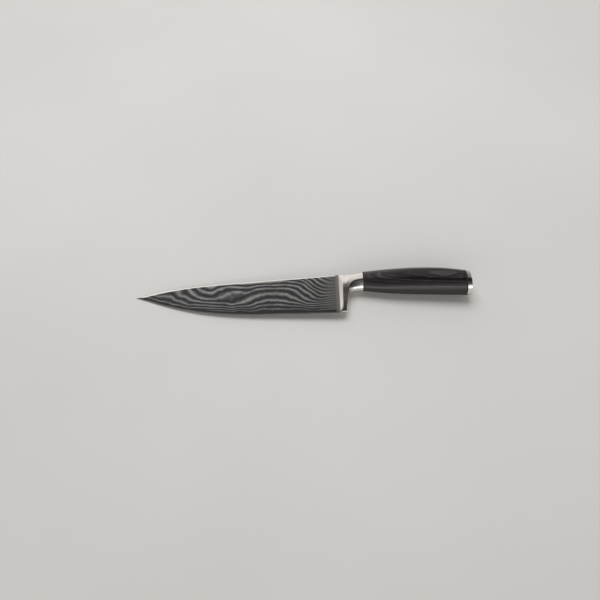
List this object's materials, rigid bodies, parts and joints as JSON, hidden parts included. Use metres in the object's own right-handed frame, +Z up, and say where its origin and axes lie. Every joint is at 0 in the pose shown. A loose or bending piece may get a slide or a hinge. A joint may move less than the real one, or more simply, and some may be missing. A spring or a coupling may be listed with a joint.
{
  "type": "chef knife",
  "caption": "Chef knife lying on its side: laminated pattern-steel blade, full polished bolster with heel guard, dark laminated-wood grip and steel end cap.",
  "frame": {"origin": "centre of the knife's bounding box, on the surface it lies on", "axes": "+X from the point to the butt, -Y towards the cutting edge, +Z up out of the surface; the blade's mid-plane climbs by about 2.2 degrees from the point to the butt"},
  "size_m": [0.3174, 0.0506, 0.0226],
  "materials": {
    "core_steel": "fine ground hard steel",
    "pattern_steel": "etched layered steel with wavy light and dark bands",
    "polished_steel": "polished",
    "plain_steel": "machined, hidden in the grip",
    "fibre": "vulcanised fibre, matte black",
    "laminated_wood": "resin-filled laminated wood, near black with grey grain, satin",
    "adhesive": "cured epoxy, hidden in the grip"
  },
  "bodies": {
    "root": {"blade_core": "core_steel", "blade_cladding_upper": "pattern_steel", "blade_cladding_lower": "pattern_steel", "bolster": "polished_steel", "front_spacer": "fibre", "grip": "laminated_wood", "tang_bedding": "adhesive", "tang_rod": "plain_steel", "tang_washer": "plain_steel", "tang_nut": "plain_steel", "rear_spacer": "fibre", "end_cap": "polished_steel"}
  },
  "joints": []
}
